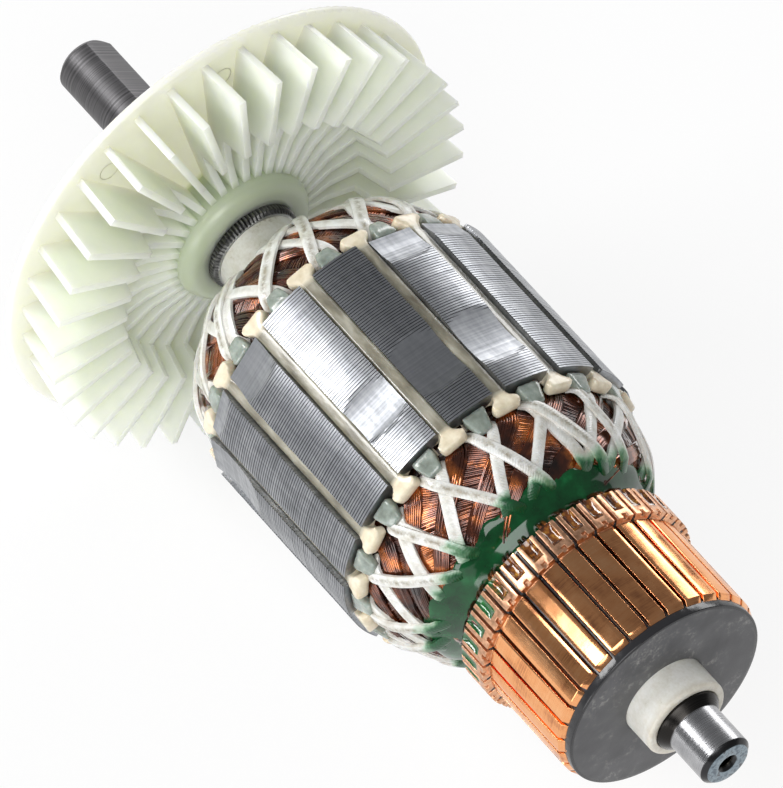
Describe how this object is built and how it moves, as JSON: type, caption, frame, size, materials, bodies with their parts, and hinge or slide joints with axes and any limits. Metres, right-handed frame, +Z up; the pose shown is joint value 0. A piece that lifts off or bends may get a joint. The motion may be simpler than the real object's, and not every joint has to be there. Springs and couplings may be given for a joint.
{
  "type": "motor armature",
  "caption": "Armature of a universal motor: shaft, commutator, laced winding on a slotted core, and a radial cooling fan.",
  "frame": {"origin": "middle of the bearing journal at the commutator end, on the shaft axis", "axes": "+X along the shaft, out of the commutator end; the drive end is at -X; +Z up"},
  "size_m": [0.1677, 0.0804, 0.0804],
  "materials": {
    "shaft_steel": "ground bright at the journal, dark phosphated at the drive end",
    "sleeve_plastic": "satin off-white moulding, slightly dirty",
    "copper_bars": "polished copper, turned",
    "amber_varnish": "glossy amber varnish over wire ends",
    "phenolic": "matt dark grey moulding with a glossy rim",
    "core_steel": "turned sheet edges, fine lines round the core",
    "insulator_plastic": "grey-green under clear varnish",
    "liner_paper": "varnished paper",
    "wedge_board": "cream to tan board under clear varnish",
    "enamelled_wire": "dark red-brown enamelled copper wire, glossy",
    "lacing_cord": "off-white flat braid, varnished, with brown dirt",
    "green_resin": "dark green, very glossy",
    "fan_plastic": "translucent pale green-white nylon",
    "bush_steel": "dark knurled steel with bright edges"
  },
  "bodies": {
    "root": {"shaft": "shaft_steel", "shaft_sleeve": "sleeve_plastic", "commutator_bars": "copper_bars", "riser_pocket_fill": "amber_varnish", "commutator_moulding": "phenolic", "lamination_stack": "core_steel", "end_insulator_commutator_side": "insulator_plastic", "end_insulator_fan_side": "insulator_plastic", "slot_liners": "liner_paper", "slot_wedges": "wedge_board", "lacing_commutator_end": "lacing_cord", "lacing_fan_end": "lacing_cord", "neck_resin": "green_resin", "fan": "fan_plastic", "fan_bush": "bush_steel", "coil_01": "enamelled_wire", "coil_02": "enamelled_wire", "coil_03": "enamelled_wire", "coil_04": "enamelled_wire", "coil_05": "enamelled_wire", "coil_06": "enamelled_wire", "coil_07": "enamelled_wire", "coil_08": "enamelled_wire", "coil_09": "enamelled_wire", "coil_10": "enamelled_wire", "coil_11": "enamelled_wire", "coil_12": "enamelled_wire", "coil_13": "enamelled_wire", "coil_14": "enamelled_wire", "coil_15": "enamelled_wire", "coil_16": "enamelled_wire"}
  },
  "joints": []
}
